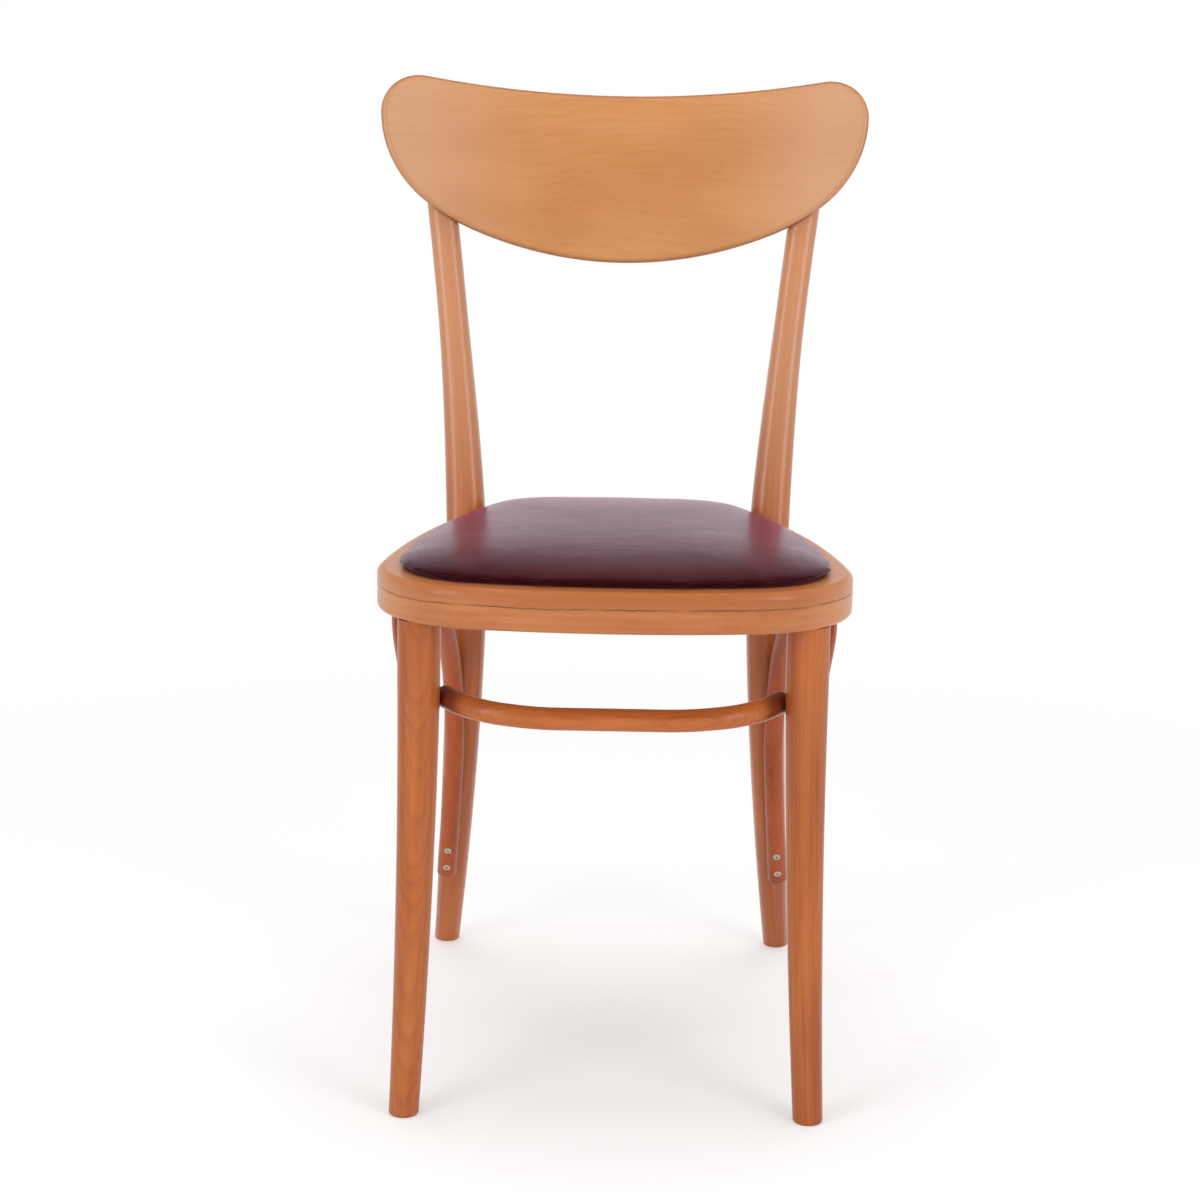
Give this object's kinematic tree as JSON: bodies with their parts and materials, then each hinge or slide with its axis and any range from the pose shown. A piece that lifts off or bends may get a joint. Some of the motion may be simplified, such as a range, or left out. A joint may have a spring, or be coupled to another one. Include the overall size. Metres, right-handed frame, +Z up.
{
  "type": "bentwood bistro chair",
  "caption": "Bentwood side chair with a curved plywood backrest, a bent seat ring with a leather pad, splayed legs, side arches and a bowed front stretcher.",
  "frame": {"origin": "on the floor under the middle of the chair's bounding box", "axes": "+X to the right as seen from the front, +Y towards the back, +Z up; the front is at -Y"},
  "size_m": [0.4416, 0.4802, 0.8396],
  "materials": {
    "beech": "stained beech, clear lacquer",
    "beech_light": "stained bent beech, clear lacquer",
    "beech_veneer": "beech veneer on bent plywood, clear lacquer",
    "plywood": "raw plywood",
    "leather": "smooth dark burgundy leather, semi-gloss",
    "steel": "plain steel, slightly darkened"
  },
  "bodies": {
    "root": {"seat_ring": "beech_light", "seat_board": "plywood", "seat_pad": "leather", "backrest": "beech_veneer", "front_leg_right": "beech", "front_leg_left": "beech", "rear_leg_right": "beech", "rear_leg_left": "beech", "side_arch_right": "beech", "side_arch_left": "beech", "front_stretcher": "beech", "arch_rear_leg_screws": "steel", "arch_front_leg_screws": "steel", "arch_ring_screws": "steel", "stretcher_screws": "steel", "backrest_screws": "steel", "seat_board_screws": "steel", "rear_leg_bolts": "steel", "rear_leg_washers": "steel", "rear_leg_nuts": "steel"}
  },
  "joints": []
}
